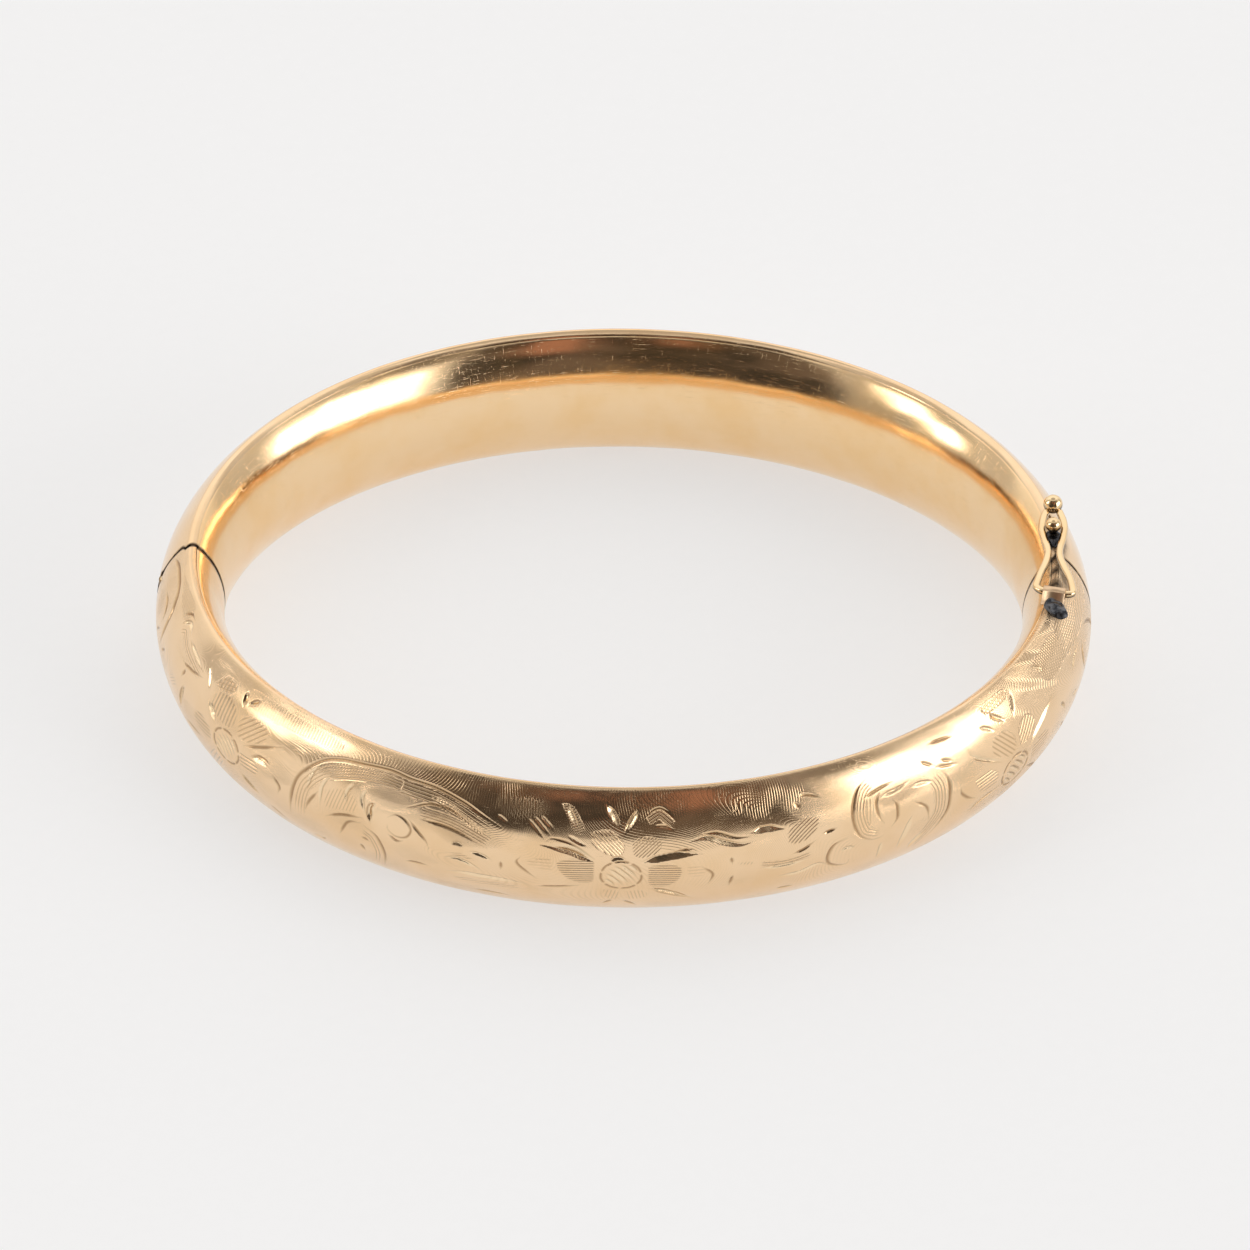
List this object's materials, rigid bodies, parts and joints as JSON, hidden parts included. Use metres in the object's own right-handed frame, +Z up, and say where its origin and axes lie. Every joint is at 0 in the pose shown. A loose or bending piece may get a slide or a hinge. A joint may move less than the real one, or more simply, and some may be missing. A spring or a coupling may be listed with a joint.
{
  "type": "hinged bangle bracelet",
  "caption": "Hollow oval hinged bangle with an engraved front half, a plain rear half, a hidden hinge, a snap tongue and a wire safety catch.",
  "frame": {"origin": "centre of the oval, on the surface that the bangle lies on", "axes": "+X from the hinge to the clasp, the long way across the oval; +Z up through the wrist opening; the engraved front half is at -Y"},
  "size_m": [0.067, 0.0574, 0.0124],
  "materials": {
    "outer_gold": "polished, engraved on the front half",
    "liner_gold": "polished, softly worn",
    "plate_gold": "satin",
    "wire_gold": "polished",
    "tongue_spring": "satin",
    "solder": "dark, uneven"
  },
  "bodies": {
    "rear_half": {"rear_outer_shell": "outer_gold", "rear_inner_liner": "liner_gold", "rear_hinge_plate": "plate_gold", "rear_clasp_plate": "plate_gold", "rear_knuckle_lower": "plate_gold", "rear_knuckle_upper": "plate_gold", "hinge_pin": "wire_gold", "safety_peg": "wire_gold", "safety_peg_solder": "solder"},
    "front_half": {"front_outer_shell": "outer_gold", "front_inner_liner": "liner_gold", "front_hinge_plate": "plate_gold", "front_clasp_plate": "plate_gold", "front_knuckle_middle": "plate_gold", "tongue_base_leaf": "tongue_spring", "tongue_spring_leaf": "tongue_spring", "catch_eye": "wire_gold", "catch_eye_solder": "solder"},
    "safety_catch": {"safety_loop_wire": "wire_gold", "safety_tip_ball": "wire_gold"}
  },
  "joints": [
    {"name": "hinge_open", "type": "hinge", "parent": "rear_half", "child": "front_half", "pos_m": [-0.03275, 0.00065, 0.00545], "axis": [0, 0, -1], "range_deg": [0, 55], "deforming": ["tongue_spring_leaf", "safety_loop_wire"]},
    {"name": "safety_swing", "type": "hinge", "parent": "front_half", "child": "safety_catch", "pos_m": [0.0305, -0.00475, 0.01135], "axis": [0.9744, -0.225, 0], "range_deg": [0, 165], "deforming": ["safety_loop_wire"]}
  ]
}
